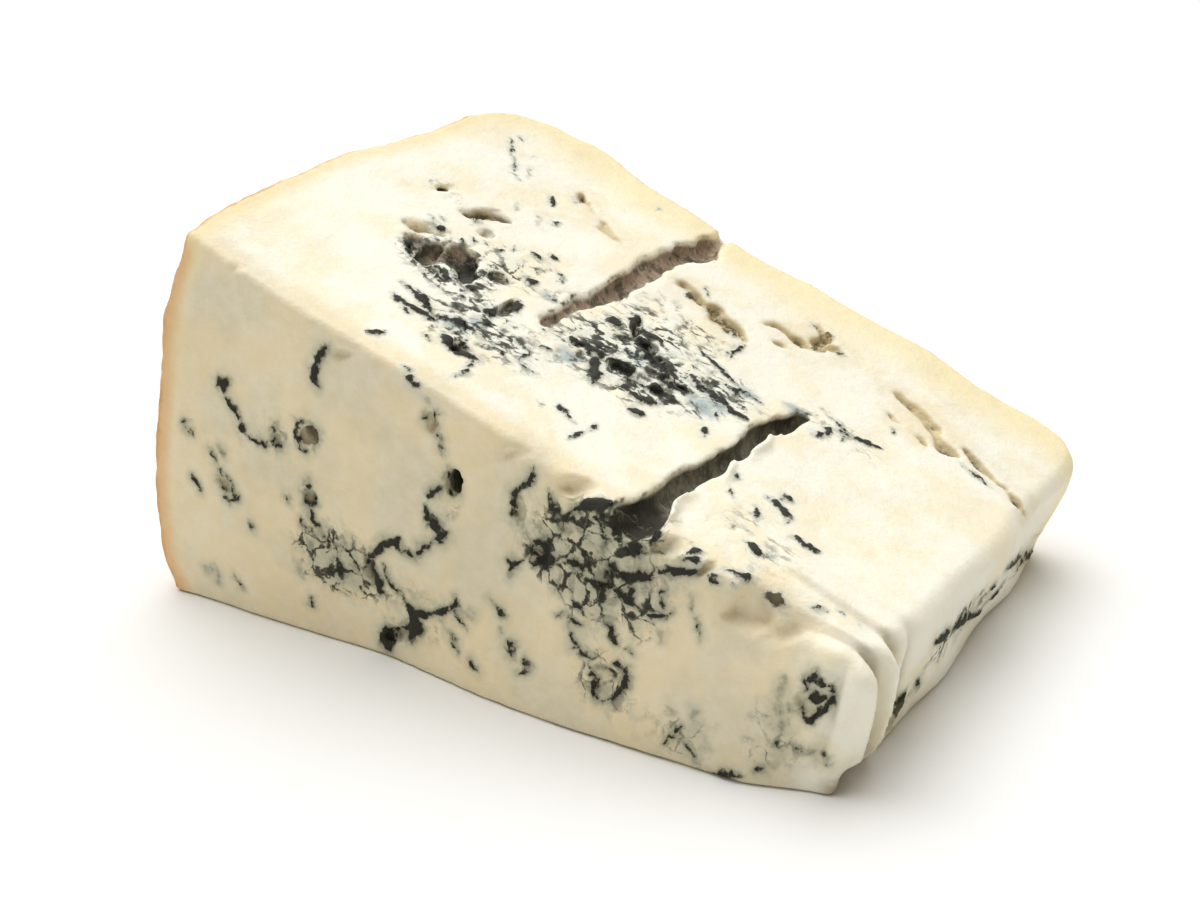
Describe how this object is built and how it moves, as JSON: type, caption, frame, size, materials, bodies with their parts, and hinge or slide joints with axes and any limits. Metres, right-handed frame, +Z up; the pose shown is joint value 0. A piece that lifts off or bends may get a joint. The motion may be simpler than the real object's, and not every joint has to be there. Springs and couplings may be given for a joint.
{
  "type": "blue cheese wedge",
  "caption": "Radial wedge of soft blue-veined cheese lying on a cut face, with a curved rind end, a flat rind side, split needle channels and a cut-off nose.",
  "frame": {"origin": "middle of the underside of the bounding box, on the flat cut face the wedge lies on", "axes": "+X from the curved rind end to the cut-off nose, +Y from the halving cut to the flat rind, +Z up from the cut face the wedge lies on"},
  "size_m": [0.1058, 0.078, 0.0545],
  "materials": {
    "cheese": "soft moist cream paste with blue-green mould veins and a tan rind"
  },
  "bodies": {
    "root": {"cheese_wedge": "cheese"}
  },
  "joints": []
}
